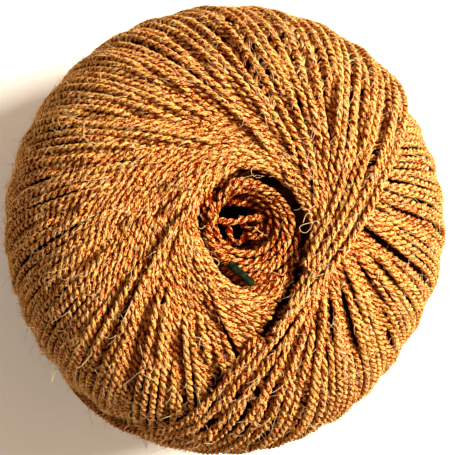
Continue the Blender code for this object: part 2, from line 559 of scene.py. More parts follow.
@dataclass(frozen=True)
class Mouth:
    """The upper mouth: its edge, the groove under it, the crease by the newest turns, and its ledge."""

    hole: tuple[float, float] = (-0.9, 0.7)
    shift_ends: tuple[float, float] = (8.5, 12.5)
    shelf_radii: tuple[float, ...] = (7.4, 8.1, 9.4, 11.2, 13.7, 18.0)
    shelf_heights: tuple[float, ...] = (87.5, 90.8, 92.3, 93.4, 93.8, 94.4)
    shelf_ages: tuple[float, float] = (330, 372)
    lip_rounds: tuple[float, float] = (17.0, 14.0)
    lip_blend: tuple[float, float] = (15.0, 27.0)
    groove_starts: tuple[float, float] = (-62.0, -30.0)
    groove_ends: tuple[float, float] = (78.0, 138.0)
    groove_width: float = 1.9
    crease: tuple[tuple[float, float], tuple[float, float]] = ((13.9, -11.5), (2.6, -30.7))
    crease_edge: float = 1.2
    crease_older: float = 0.1
    crease_newer: float = -8.0

    @property
    def shift(self) -> Array:
        """How far the hole lies off the ball's axis."""
        return np.array([*self.hole, 0.0])

    def moved(self, points: Array, radius: Array) -> Array:
        """Points from the ball's middle, with those of the upper half drawn aside with the hole."""
        share = (1 - smooth(*self.shift_ends, radius)) * (points[:, 2] > 0)
        return points + self.shift * share[:, None]

    def edge(self, points: Array) -> Array:
        """Distance of the mouth's edge from the axis, in the direction of each point."""
        return np.interp(np.mod(np.degrees(azimuth(points)), 360), *np.array(MOUTH_EDGE).T)

    def groove(self, points: Array) -> Array:
        """1 in the directions where the groove is at its full depth, 0 where there is none."""
        degrees = np.degrees(azimuth(points))
        return smooth(*self.groove_starts, degrees) * (1 - smooth(*self.groove_ends, degrees))

    def creased(self, points: Array, older: bool) -> Array:
        """Whether each point lies over the narrow gap beside the newest turns, or for newer turns left of it.

        Args:
            points: Points from the ball's middle.
            older: Whether they are of a turn that the newest ones cover.

        Returns:
            Whether the turn can't show at each point.
        """
        start, end = np.array(self.crease)
        length = np.linalg.norm(end - start)
        way = (end - start) / length
        off = points[:, :2] - start
        along, aside = off @ way, off @ np.array([-way[1], way[0]])
        near = (aside < self.crease_edge) & (aside > (self.crease_older if older else self.crease_newer))
        return near & (along > 0) & (along < length) & (points[:, 2] > 0)


@dataclass(frozen=True)
class Turn:
    """One loop of twine: where it passes nearest to the axis, its age, and what sets it off from the next.

    It is late by 1 if it keeps to the way of the newest turns, and by 0 if it swings like the older ones.
    Beyond its reach from the axis it isn't needed.
    """

    angle: float
    offset: float
    age: float
    tone: float
    waves: tuple[float, float, float]
    late: float
    reach: float


@dataclass
class Lie:
    """How a turn lies, point by point: on the drum, over it, and where it shows or is barred."""

    points: Array
    normal: Array
    along: Array
    target: Array
    height: Array
    shows: Array
    barred: Array


@dataclass
class Layers:
    """A fine net of cells over the ball that remembers where newer twine lies."""

    cells: int = 320
    under: Array = field(init=False)
    taken: Array = field(init=False)

    def __post_init__(self) -> None:
        """Starts with nothing laid."""
        self.under = np.full(6 * self.cells**2, 50.0)
        self.taken = np.zeros(6 * self.cells**2, bool)

    def find(self, points: Array) -> Array:
        """The cell that each point lies over, seen from the ball's middle.

        Args:
            points: Points from the middle, in any number of rows.

        Returns:
            The number of each point's cell.
        """
        axis = np.abs(points).argmax(-1)

        def part(turned: int) -> Array:
            """The coordinate a number of places after the largest one."""
            return np.take_along_axis(points, ((axis + turned) % 3)[..., None], -1)[..., 0]

        main = part(0)
        face = 2 * axis + (main > 0)
        across = [(part(turned) / np.abs(main) + 1) / 2 * self.cells for turned in (1, 2)]
        i, j = (np.minimum(place.astype(np.int64), self.cells - 1) for place in across)
        return (face * self.cells + i) * self.cells + j


@dataclass
class Winding:
    """All turns of the ball that show, laid from the newest inwards."""

    form: BallForm
    twine: Twine
    rng: np.random.Generator
    mouth: Mouth = Mouth()
    newest: tuple[tuple[float, float], ...] = (
        (-40.5, 23.4),
        (-38.6, 21.2),
        (-36.4, 24.2),
        (-34.6, 19.2),
        (-33.0, 25.5),
        (-31.2, 19.3),
        (-28.8, 22.4),
        (-26.8, 17.3),
        (-24.8, 20.0),
        (-23.8, 23.2),
        (-22.8, 16.9),
    )
    late_turns: int = 16
    last_lift: float = 0.6
    last_angle: float = math.radians(-40.5)
    pitch: float = math.radians(2.2)
    pitch_spread: float = 0.06
    deep_pitch: float = math.radians(6.0)
    deep_offsets: tuple[float, float] = (1, 8)
    deep_reach: float = 20.0
    spread: float = 1.6
    stride: float = 0.4
    scatter: float = 7.0
    scattered: int = 24
    golden: float = 0.618034
    wander: tuple[tuple[float, float], ...] = ((0.16, 3), (0.10, 8), (0.07, 19))
    bend_fades: float = 38.0
    step: float = 0.40
    squeeze: float = 0.9
    feelers: int = 8
    deepest: float = 2.4
    lip_depth: float = 1.4
    lip_blend: tuple[float, float] = (16.0, 26.0)
    float_reach: float = 7.0
    float_slack: float = 0.4
    bend_radius: float = 9.0
    evenings: int = 3
    blur: int = 7
    least_free: tuple[float, float] = (0.48, 0.76)
    ledge_from: float = math.radians(338)
    ledge_clear: float = 0.3
    groove_from: float = math.radians(150)
    hidden_end: float = 1.2
    shortest: int = 5
    dive_length: float = 5.6
    dive_depth: float = 1.9
    above_floor: float = 0.12
    shade_full_depth: float = 3.0
    # Painted shade in the mouth: none above this height, full this far below it.
    mouth_light: float = 97.6
    mouth_dark: float = 6.0
    mouth_blend: tuple[float, float] = (13.0, 19.0)
    loop_points: int = 721
    second_sink: float = 0.6
    second_blend: float = 0.5
    change_width: float = 0.25
    far_side: float = 2.5
    ridges: int = 32
    ridge_height: float = 0.45
    ridge_drift: float = 0.9
    ridge_drifts: int = 5
    ridge_blend: tuple[float, float] = (20, 42)
    dimple_radii: tuple[float, ...] = (0, 5, 9, 12)
    dimple_depths: tuple[float, ...] = (5.0, 4.3, 2.4, 0.0)
    fine_above: float = -4.0
    upper_stride: int = 2
    lower_stride: int = 3
    runs: list[Run] = field(default_factory=list)

    def turn(self, angle: float, offset: float, late: float, reach: float = math.inf) -> Turn:
        """A turn at an angle and a distance from the axis, with its own tone and unevenness."""
        waves = tuple(self.rng.uniform(0, FULL_TURN, 3))
        return Turn(angle, offset, angle - self.last_angle, self.rng.uniform(0, 1), waves, late, reach)

    def drift(self, count: int) -> float:
        """How far outside the mouth's edge a turn lies.

        Turn by turn it drifts out and then back in. The turns after the newest are scattered as well.

        Args:
            count: How many turns lie over it, without the newest.

        Returns:
            The distance.
        """
        away = abs(math.fmod(count * self.stride / self.spread, 2.0) - 1.0)
        scattered = self.scatter * math.fmod(count * self.golden, 1.0) * max(1 - count / self.scattered, 0.0)
        return self.spread * (1 - away) + scattered + abs(self.rng.normal(0, 0.3))

    def following(self, angle: float, count: int) -> Turn:
        """The turn that lies under those laid so far.

        Args:
            angle: Where the last one passes nearest to the axis.
            count: How many are laid.

        Returns:
            The next turn.
        """
        if count < len(self.newest):
            degrees, offset = self.newest[count]
            return self.turn(math.radians(degrees), offset, 1.0)
        if (angle - self.last_angle) / FULL_TURN >= 2:
            offset = self.rng.uniform(*self.deep_offsets)
            return self.turn(angle + self.deep_pitch, offset, 0.0, self.deep_reach)
        angle += self.pitch * self.rng.normal(1, self.pitch_spread)
        ages, offsets, _ = np.array(MOUTH_STEPS).T
        least = float(np.interp(math.degrees(angle - self.last_angle), ages, offsets))
        older = count - len(self.newest)
        return self.turn(angle, least + self.drift(older), max(1 - older / self.late_turns, 0.0))

    def loop(self, turn: Turn) -> tuple[Array, Array, Array, Array]:
        """The plain loop of a turn.

        Args:
            turn: The turn.

        Returns:
            Points from the ball's middle on the plain drum, outward normals, distance along it, and distance
            from the axis before the hole draws it aside.
        """
        tilt = math.atan2(turn.offset, self.form.upper)
        c, s = math.cos(turn.angle), math.sin(turn.angle)
        top = np.array([math.sin(tilt) * c, math.sin(tilt) * s, math.cos(tilt)])
        side = np.array([-s, c, 0.0])
        off = np.array([math.cos(tilt) * c, math.cos(tilt) * s, -math.sin(tilt)])
        beta = np.linspace(-math.pi, math.pi, self.loop_points)
        wander = ripple(beta, *((*wave, phase) for wave, phase in zip(self.wander, turn.waves)))
        way = np.cos(beta)[:, None] * top + np.sin(beta)[:, None] * side
        way = way + (wander / self.form.radius)[:, None] * off
        points, _ = self.form.surface(unit(way))
        there = travelled(points)
        along = np.arange(0, there[-1], self.step)
        way = np.stack([np.interp(along, there, points[:, axis]) for axis in range(3)], axis=1)
        points, normal = self.form.surface(unit(way))
        radius = off_axis(points)
        swing = self.bend(turn, points, radius)
        points, normal = self.mouth.moved(spun(points, swing), radius), spun(normal, swing)
        near = (radius < turn.reach) & ((points[:, 2] < 0) | math.isinf(turn.reach))
        return points[near], normal[near], along[near], radius[near]

    def bend(self, turn: Turn, points: Array, radius: Array) -> Array:
        """How far the pull on the twine swings its loop out of its plane.

        Args:
            turn: The turn.
            points: Points of its plane loop from the middle.
            radius: Their distance from the axis.

        Returns:
            Angle about the axis at each point.
        """
        away = wrapped(azimuth(points) - turn.angle)
        below = points[:, 2] < 0
        swing = np.zeros(len(points))
        for bends, share in ((BENDS, 1 - turn.late), (LAST_BENDS, turn.late)):
            places, *ways = np.array(bends).T
            out, back = (
                np.where(below, way[-1], np.interp(radius, places, way) - np.interp(turn.offset, places, way))
                for way in ways
            )
            swing += share * np.where(away > 0, out, -back)
        return np.radians(swing) * smooth(-self.bend_fades, 0, points[:, 2])

    def target(self, turn: Turn, points: Array, radius: Array) -> Array:
        """Height over the plain drum at which a turn was laid.

        Args:
            turn: The turn.
            points: Its points from the middle.
            radius: Their distance from the axis.

        Returns:
            Height of its middle line at each point.
        """
        away = wrapped(azimuth(points) - turn.angle)
        swing = np.abs(away)
        sinking = float(smooth(FULL_TURN, FULL_TURN + self.second_blend, turn.age))
        age = min(turn.age, FULL_TURN) - self.second_sink * sinking
        out, back = 1 - (2 * age + 2 * swing) / FULL_TURN, (2 * swing - 2 * age) / FULL_TURN
        change = smooth(-self.change_width, self.change_width, away)
        share = np.where(swing > self.far_side, 0.5 + 0.5 * np.sign(away), change)
        place = self.ridges * turn.age + self.ridge_drift * math.sin(self.ridge_drifts * turn.age)
        ridge = self.ridge_height * np.cos(place) * smooth(*self.ridge_blend, radius)
        lift = self.last_lift * turn.late
        height = self.form.layer * (back + (out - back) * share) + ridge + lift
        drum = np.abs(points[:, 2])
        degrees = math.degrees(turn.age)
        ages, _, tops = np.array(MOUTH_STEPS).T
        lip = float(np.interp(degrees, ages, tops)) + lift - smooth(*self.mouth.lip_rounds, radius)
        lip = lip - self.form.middle - drum
        shelf = np.interp(radius, self.mouth.shelf_radii, self.mouth.shelf_heights) - self.form.middle - drum
        at_mouth = lip + (shelf - lip) * float(smooth(*self.mouth.shelf_ages, degrees))
        upper = height + (at_mouth - height) * (1 - smooth(*self.mouth.lip_blend, radius))
        dimple = np.interp(radius, self.dimple_radii, self.dimple_depths)
        lower = np.minimum(height, self.form.middle - drum - dimple)
        return np.where(points[:, 2] > 0, upper, lower) - self.twine.radius

    def floated(self, touch: Array) -> Array:
        """Heights of a line that spans the hollows it is too stiff to follow.

        Args:
            touch: Height at which each point would come to lie on its own.

        Returns:
            Height of each point.
        """
        height = touch.copy()
        for shift in range(1, int(self.float_reach / self.step) + 1):
            lift = max(shift * self.step - self.float_slack, 0.0) ** 2 / (2 * self.bend_radius)
            height[shift:] = np.minimum(height[shift:], touch[:-shift] + lift)
            height[:-shift] = np.minimum(height[:-shift], touch[shift:] + lift)
        for _ in range(self.evenings):
            height[1:-1] = (height[:-2] + 2 * height[1:-1] + height[2:]) / 4
        return height

    def room(self, turn: Turn, points: Array, radius: Array) -> tuple[Array, Array]:
        """Where the mouth leaves room for a turn.

        Args:
            turn: The turn.
            points: Its points from the middle.
            radius: Their distance from the axis.

        Returns:
            Whether it may show at each point, and whether not even its hidden end may reach there.
        """
        older = turn.age > self.groove_from
        creased = self.mouth.creased(points, older)
        allowed = np.ones(len(points), bool)
        if older:
            allowed = (points[:, 2] <= 0) | (radius > self.mouth.edge(points) + self.ledge_clear)
        if older and turn.age <= self.ledge_from:
            allowed |= self.mouth.groove(points) < 0.5
        barred, hidden = creased.copy(), int(self.hidden_end / self.step)
        for first, last in spans(~allowed):
            barred[first + hidden : max(last - hidden, 0)] = True
        return allowed & ~creased, barred

    def lay(self) -> None:
        """Lays every turn and keeps the stretches that show."""
        layers = Layers()
        aside = np.linspace(-self.squeeze, self.squeeze, self.feelers)
        drop = np.sqrt(np.maximum(self.squeeze**2 - aside**2, 0.0))
        inner = np.abs(aside) < self.squeeze
        count, angle = 0, self.last_angle
        while angle < self.last_angle + 3 * FULL_TURN:
            turn = self.following(angle, count)
            angle, count = turn.angle, count + 1
            points, normal, along, radius = self.loop(turn)
            across = np.cross(normal, heading(points))
            cells = layers.find(points[:, None] + across[:, None] * aside[None, :, None])
            target = self.target(turn, points, radius)
            near_mouth = (1 - smooth(*self.lip_blend, radius)) * (points[:, 2] > 0)
            deepest = self.deepest + (self.lip_depth - self.deepest) * near_mouth
            under = (layers.under[cells] - drop[None])[:, inner].min(1)
            height = self.floated(np.clip(under, target - deepest, target))
            free = np.convolve((~layers.taken[cells]).mean(1), np.full(self.blur, 1 / self.blur), "same")
            allowed, barred = self.room(turn, points, radius)
            shows = (free > self.rng.uniform(*self.least_free)) & allowed
            firm = np.flatnonzero(shows)
            np.minimum.at(layers.under, cells[firm][:, inner], height[firm, None] - drop[None, inner])
            layers.taken[cells[firm]] = True
            self.keep(turn, Lie(points, normal, along, target, height, shows, barred))
        shown = sum(run.along[-1] - run.along[0] for run in self.runs) / 1000
        LOG.info("%d turns laid, %d stretches show, %.1f m", count, len(self.runs), shown)

    def keep(self, turn: Turn, lie: Lie) -> None:
        """Cuts a turn into the stretches that show, whose ends dive under their neighbours.

        Args:
            turn: The turn.
            lie: How it lies.
        """
        dive = int(self.dive_length / self.step)
        place = np.arange(len(lie.along))
        beyond = np.full(len(place), dive + 1.0)
        for first, last in spans(lie.shows):
            if last - first >= self.shortest:
                beyond = np.minimum(beyond, np.maximum(np.maximum(first - place, place - last + 1), 0))
        height = lie.height - self.dive_depth * (beyond / dive) ** 2
        line = self.form.pressed(lie.points + lie.normal * height[:, None])
        line[:, 2] = np.maximum(line[:, 2], -self.form.middle + self.twine.radius + self.above_floor)
        # Painted shade: twine darkens the deeper it sinks under newer turns, and inside the mouth the lower
        # it lies.
        sunk = np.clip((lie.target - height) / self.shade_full_depth, 0, 1)
        in_mouth = (1 - smooth(*self.mouth_blend, off_axis(line))) * (line[:, 2] > 0)
        below_light = np.clip((self.mouth_light - self.form.middle - line[:, 2]) / self.mouth_dark, 0, 1)
        depth = sunk + in_mouth * below_light
        for first, last in spans((beyond <= dive) & ~lie.barred):
            breaks = np.flatnonzero(np.diff(lie.along[first:last]) > 1.5 * self.step) + 1
            for part in np.split(np.arange(first, last), breaks):
                upper = line[part, 2].mean() > self.fine_above
                part = part[:: self.upper_stride if upper else self.lower_stride]
                corners = Corners.UPPER if upper else Corners.LOWER
                if len(part) > 3:
                    run = Run(line[part], lie.normal[part], lie.along[part], depth[part], turn.tone, corners)
                    self.runs.append(run)


class LedgeTurn(NamedTuple):
    """An older turn on the ledge: its place outwards from the hole, where it runs (degrees), and its tone."""

    place: float
    start: float
    end: float
    tone: float


LEDGE_TURNS = (
    LedgeTurn(-1.6, -84, 74, 0.45),
    LedgeTurn(-0.8, -112, 96, 0.60),
    LedgeTurn(0.0, -222, 134, 1.0),
    LedgeTurn(1.0, -212, 144, 0.35),
    LedgeTurn(2.0, -226, 128, 0.50),
    LedgeTurn(2.5, 66, 176, 0.20),
    LedgeTurn(3.0, -122, -6, 0.30),
    LedgeTurn(4.0, -110, -21, 0.55),
    LedgeTurn(5.0, -99, -38, 0.40),
    LedgeTurn(6.0, -92, -48, 0.60),
)


@dataclass
class Hollow:
    """The ledge and the wall of the pull hole: older turns round it, side by side and one below the other."""

    mouth: Mouth
    twine: Twine
    top: float = 90.2
    bottom: float = 59.0
    pitch: float = 1.9
    upper_radius: float = 8.7
    lower_radius: float = 7.8
    ledge_pitch: float = 1.85
    step: float = 0.8
    least_ledge: float = 1.5
    least_groove: float = 0.5
    whole_rings: float = 2.0
    sink: float = 3.6
    end_dip: float = 2.2
    end_length: float = 4.0
    ledge_radii: tuple[float, ...] = (5.6, 7.2, 8.7, 10.0, 12.0, 14.0, 18.0)
    ledge_heights: tuple[float, ...] = (87.2, 89.4, 91.0, 92.0, 92.7, 93.0, 93.5)
    sink_blend: tuple[float, float] = (0.3, 2.0)
    inner_blend: tuple[float, float] = (6.0, 11.5)
    inner_lean: float = 0.9
    outer_blend: tuple[float, float] = (2.0, 4.0)
    ledge_shade: float = 1.2
    inner_shade: float = 1.4
    sunk_shade: float = 1.2
    outer_shade: float = 0.9
    wall_shades: tuple[float, float, float] = (1.0, 1.4, 0.6)
    ring_waves: tuple[tuple[float, float], ...] = ((0.14, 2.3), (0.10, 5.1), (0.12, 3.7))
    wall_waves: tuple[tuple[float, float, float], ...] = ((0.3, 3.17, 0), (0.2, 5.3, 1), (0.35, 0.63, 0))
    bight_step: float = 0.6
    bight_shade: float = 2.8
    bights: tuple[tuple[tuple[float, float, float], ...], ...] = (
        ((-11.0, 1.6, 91.4), (-10.2, 0.3, 93.0), (-9.5, -1.9, 93.4), (-8.9, -4.4, 92.5), (-8.6, -5.6, 90.5)),
        ((-7.0, 1.4, 88.4), (-6.2, -0.2, 91.3), (-5.5, -2.2, 92.0), (-5.4, -4.5, 91.0), (-5.9, -6.4, 88.3)),
        ((-7.2, 6.0, 84.3), (-5.0, 6.3, 86.5), (-2.4, 6.3, 87.3), (0.2, 6.0, 86.5), (2.6, 5.6, 84.1)),
    )

    def ring(self, turn: LedgeTurn, middle: float, rng: np.random.Generator) -> Run:
        """One turn on the ledge.

        Args:
            turn: The turn.
            middle: Height of the ball's middle.
            rng: Source of its unevenness.

        Returns:
            The turn, which dips at its ends and where it reaches the groove.
        """
        start, end = math.radians(turn.start), math.radians(turn.end)
        widest = self.upper_radius + self.ledge_pitch * turn.place
        angle = np.arange(start, end, self.step / widest)
        phase = rng.uniform(0, FULL_TURN, 3)
        way = np.stack([np.cos(angle), np.sin(angle), np.zeros_like(angle)], axis=1)
        radius = np.full_like(angle, widest)
        if turn.place <= self.whole_rings:
            room = self.mouth.edge(way) - way @ self.mouth.shift - self.twine.radius - self.least_groove
            room -= (self.mouth.groove_width - self.least_groove) * self.mouth.groove(way) + self.upper_radius
            share = turn.place / self.whole_rings
            radius = np.minimum(widest, self.upper_radius + share * np.maximum(room, self.least_ledge))
        waves = [(*wave, at) for wave, at in zip(self.ring_waves, phase)]
        radius += ripple(angle, *waves[:2])
        line = way * radius[:, None] + self.mouth.shift
        over = off_axis(line) - self.mouth.edge(line) + self.mouth.groove_width + self.twine.radius
        dip = self.sink * smooth(*self.sink_blend, over)
        from_end = np.minimum(angle - start, end - angle) * radius
        ends = self.end_dip * (1 - smooth(0, self.end_length, from_end))
        shelf = np.interp(radius, self.ledge_radii, self.ledge_heights)
        line[:, 2] = shelf - dip - ends + ripple(angle, waves[2]) - middle
        inner = 1 - smooth(*self.inner_blend, radius)
        lean = unit(np.array([0.0, 0.0, 1.0]) - way * (self.inner_lean * inner)[:, None])
        # Painted shade: each ledge turn is darker near the hole, where it dips towards the groove, and more
        # so for the outer turns.
        depth = self.ledge_shade + self.inner_shade * inner + self.sunk_shade * smooth(0, self.sink, dip)
        depth = depth + self.outer_shade * smooth(*self.outer_blend, turn.place)
        return Run(line, lean, self.step * np.arange(len(angle)), depth, turn.tone)

    def wall(self, middle: float) -> Run:
        """The coil of turns down the wall of the hole.

        Args:
            middle: Height of the ball's middle.

        Returns:
            The coil.
        """
        angle = np.arange(0, (self.top - self.bottom) / self.pitch * FULL_TURN, self.step / self.lower_radius)
        share = angle / angle[-1]
        radius = self.upper_radius + (self.lower_radius - self.upper_radius) * smooth(0, 0.3, share)
        radius += ripple(angle, *self.wall_waves[:2])
        way = np.stack([np.cos(-angle), np.sin(-angle), np.zeros_like(angle)], axis=1)
        line = way * radius[:, None] + self.mouth.shift
        line[:, 2] = self.top - share * (self.top - self.bottom) + ripple(angle, self.wall_waves[2]) - middle
        # Painted shade: the coil darkens further down the wall and on the half of the hole towards +y.
        least, deeper, far = self.wall_shades
        depth = least + deeper * smooth(0, 0.25, share) + far * np.maximum(np.sin(-angle), 0)
        return Run(line, -way, np.cumsum(np.full(len(angle), self.step)), depth, 0.4)

    def stretches(self, middle: float, rng: np.random.Generator) -> list[Run]:
        """The stretches of twine in the mouth.

        Args:
            middle: Height of the ball's middle.
            rng: Source of their unevenness.

        Returns:
            The turns on the ledge, the coil of the wall, and the short bights that lean out of it.
        """
        made = [self.ring(turn, middle, rng) for turn in LEDGE_TURNS]
        made.append(self.wall(middle))
        for bight in self.bights:
            line = flowing(bight, self.bight_step) - np.array([0.0, 0.0, middle])
            out = np.tile(np.array([0.2, 0.1, 1.0]), (len(line), 1))
            # The bights are painted dark, as shade deep in the hole.
            along, depth = np.arange(len(line)) * self.bight_step, np.full(len(line), self.bight_shade)
            made.append(Run(line, out, along, depth, 0.5))
        return made


class Nodes:
    """A new material, and short ways to add nodes to it."""

    def __init__(self, name: str, roughness: float, specular: float) -> None:
        """Starts the material with an even surface.

        Args:
            name: The material's name.
            roughness: How rough it is.
            specular: How much it shines.
        """
        self.material = bpy.data.materials.new(name)
        self.material.use_nodes = True
        self.tree = self.material.node_tree
        self.shader = self.tree.nodes["Principled BSDF"]
        self.shader.inputs["Roughness"].default_value = roughness
        self.shader.inputs["Specular IOR Level"].default_value = specular

    def add(self, kind: str, inputs: dict[str | int, object], **settings: object) -> bpy.types.Node:
        """Adds a node.

        Args:
            kind: Its type.
            inputs: What goes into it: a number, a vector or another node's socket for each input.
            settings: Its other properties.

        Returns:
            The node.
        """
        made = self.tree.nodes.new(kind)
        for key, value in settings.items():
            setattr(made, key, value)
        for key, value in inputs.items():
            if isinstance(value, bpy.types.NodeSocket):
                self.tree.links.new(value, made.inputs[key])
            else:
                made.inputs[key].default_value = value
        return made

    def times_plus(self, value: Socket, times: float, plus: Socket | float) -> Socket:
        """A value times a number, plus another value."""
        return self.add("ShaderNodeMath", {0: value, 1: times, 2: plus}, operation="MULTIPLY_ADD").outputs[0]

    def noise(self, place: Socket, scale: float, detail: float, roughness: float) -> Socket:
        """Soft noise over a place."""
        inputs = {"Vector": place, "Scale": scale, "Detail": detail, "Roughness": roughness}
        return self.add("ShaderNodeTexNoise", inputs).outputs[0]

    def ramp(self, value: Socket, stops: tuple[tuple[float, Colour], ...]) -> Socket:
        """Colours along a value.

        Args:
            value: The value.
            stops: Where each colour lies, and the colour.

        Returns:
            The colour at the value.
        """
        made = self.add("ShaderNodeValToRGB", {0: value})
        elements = made.color_ramp.elements
        elements[0].position, elements[1].position = stops[0][0], stops[-1][0]
        for position, _ in stops[1:-1]:
            elements.new(position)
        for element, (_, colour) in zip(elements, stops):
            element.color = (*colour, 1.0)
        return made.outputs[0]

    def finish(self, colour: Socket, height: Socket, bump: float, distance: float) -> bpy.types.Material:
        """Gives the surface its colour and its small relief.

        Args:
            colour: The colour.
            height: The relief.
            bump: Its strength.
            distance: Its height, in millimetres.

        Returns:
            The material.
        """
        relief = self.add("ShaderNodeBump", {"Strength": bump, "Distance": distance * MM, "Height": height})
        self.tree.links.new(colour, self.shader.inputs["Base Color"])
        self.tree.links.new(relief.outputs[0], self.shader.inputs["Normal"])
        return self.material


@dataclass(frozen=True)
class CoirFinish:
    """Rough plant fibre: gold on the crowns of the plies as a painted highlight, rust and dark brown between
    them as painted shade, darker still where the twine lies deep.
    """

    name: str = "coir_twine"
    gold: Colour = (0.92, 0.53, 0.11)
    straw: Colour = (0.96, 0.57, 0.24)
    amber: Colour = (0.80, 0.225, 0.014)
    rust: Colour = (0.44, 0.028, 0.0005)
    shade: Colour = (0.16, 0.005, 0.0003)
    level: float = 0.44
    roughness: float = 0.72
    specular: float = 0.02
    bump: float = 1.0
    bump_distance: float = 0.7
    strands: Stretch = (1.1, 1.3, 1.3)
    patches: Stretch = (0.12, 0.3, 0.3)
    fine: Stretch = (1.8, 1.9, 1.9)
    hue: Stretch = (0.9, 1.3, 1.3)
    grain_roughness: float = 0.65
    shares: tuple[float, ...] = (3.0, 0.6, 6.6, 0.22, 2.0)
    means: tuple[float, ...] = (0.5, 0.5, 0.5, 0.5, 0.6)
    painted_shade_share: float = 0.30
    hue_share: float = 5.0
    tone_cools: float = 0.3
    warmth: float = 0.45
    stops: tuple[float, ...] = (0.0, 0.28, 0.58, 0.95)
    fine_relief: float = 0.5

    def make(self) -> bpy.types.Material:
        """Makes the material.

        Returns:
            A material that reads the yarn and look attributes of the mesh.
        """
        nodes = Nodes(self.name, self.roughness, self.specular)
        yarn, look = (
            nodes.add("ShaderNodeAttribute", {}, attribute_name=label).outputs["Vector"]
            for label in ("yarn", "look")
        )
        crown_light, tone, depth = nodes.add("ShaderNodeSeparateXYZ", {0: look}).outputs

        def grain(stretch: Stretch) -> Socket:
            """Noise drawn out along the fibre."""
            place = nodes.add("ShaderNodeMapping", {"Vector": yarn, "Scale": stretch}).outputs[0]
            return nodes.noise(place, 1.0, 1.0, self.grain_roughness)

        strands, patches, fine, hue = map(grain, (self.strands, self.patches, self.fine, self.hue))
        # The crown term paints a highlight on the plies' crowns and shade between them.
        parts = tuple(zip((strands, patches, fine, tone, crown_light), self.shares, self.means))
        light = self.level - sum(share * mean for _, share, mean in parts)
        for value, share, _ in parts:
            light = nodes.times_plus(value, share, light)
        # Painted shade: the deeper the twine lies, the darker its colour.
        light = nodes.times_plus(depth, -self.painted_shade_share, light)
        warm = self.warmth - 0.5 * self.hue_share + 0.5 * self.tone_cools
        warm = nodes.times_plus(tone, -self.tone_cools, nodes.times_plus(hue, self.hue_share, warm))
        colours = (
            nodes.ramp(light, tuple(zip(self.stops, (self.shade, self.rust, self.amber, crest))))
            for crest in (self.gold, self.straw)
        )
        share = nodes.add("ShaderNodeClamp", {0: warm}).outputs[0]
        mixed = nodes.add("ShaderNodeMix", {}, data_type="RGBA")
        for socket, value in zip((mixed.inputs[0], mixed.inputs[6], mixed.inputs[7]), (share, *colours)):
            nodes.tree.links.new(value, socket)
        relief = nodes.times_plus(fine, self.fine_relief, strands)
        return nodes.finish(mixed.outputs[2], relief, self.bump, self.bump_distance)


@dataclass(frozen=True)
class PlainFinish:
    """A finish with soft mottling between two colours."""

    name: str
    colour: Colour
    other: Colour
    roughness: float
    grain: float
    bump: float
    specular: float = 0.4
    bump_distance: float = 0.15

    def make(self) -> bpy.types.Material:
        """Makes the material.

        Returns:
            A material that mottles the two colours over the object.
        """
        nodes = Nodes(self.name, self.roughness, self.specular)
        mottle = nodes.noise(nodes.add("ShaderNodeTexCoord", {}).outputs["Object"], self.grain, 3.0, 0.5)
        colour = nodes.ramp(mottle, ((0.35, self.colour), (0.68, self.other)))
        return nodes.finish(colour, mottle, self.bump, self.bump_distance)


class HairKind(NamedTuple):
    """One kind of stray fibre: how many, their length and thickness, and how far they stand off and curl."""

    count: int
    shortest: float
    longest: float
    radius: float
    lift: float
    curl: float
    joints: int


HAIR_KINDS = (
    HairKind(6800, 1.5, 4.4, 0.085, 0.32, 0.9, 4),
    HairKind(1300, 3.0, 8.0, 0.080, 0.55, 2.2, 8),
)


class Curl(NamedTuple):
    """A long fibre that has come loose: points of its way from the axis, and its height over the form."""

    way: tuple[tuple[float, float], ...]
    lift: float


CURLS = (
    Curl(((16.4, 5.3), (14.6, 4.2), (12.7, 4.0)), 1.0),
    Curl(((12.9, 0.5), (13.7, 2.6), (14.8, 2.9), (15.4, 1.1), (15.1, -0.8), (13.7, -2.1), (12.4, -1.9)), 0.8),
    Curl(((12.4, -1.9), (11.9, -0.8), (12.9, 0.0), (14.8, 0.5), (17.3, 1.1)), 0.8),
    Curl(((-11.3, -8.8), (-10.2, -9.3), (-9.7, -10.3), (-10.5, -11.1), (-11.4, -10.6)), 0.9),
    Curl(((0.3, -0.5), (1.9, -1.9), (3.5, -2.9)), -2.6),
    Curl(((-13.4, -0.4), (-14.4, -1.2), (-15.2, -0.9)), 1.2),
    Curl(((-33.7, -43.0), (-30.5, -39.8), (-27.2, -37.4)), 2.4),
    Curl(((24.3, -42.7), (29.0, -40.5), (33.7, -39.3)), 2.4),
    Curl(((-42.0, 20.0), (-44.5, 23.5), (-44.0, 28.0), (-41.0, 29.0)), 2.6),
)


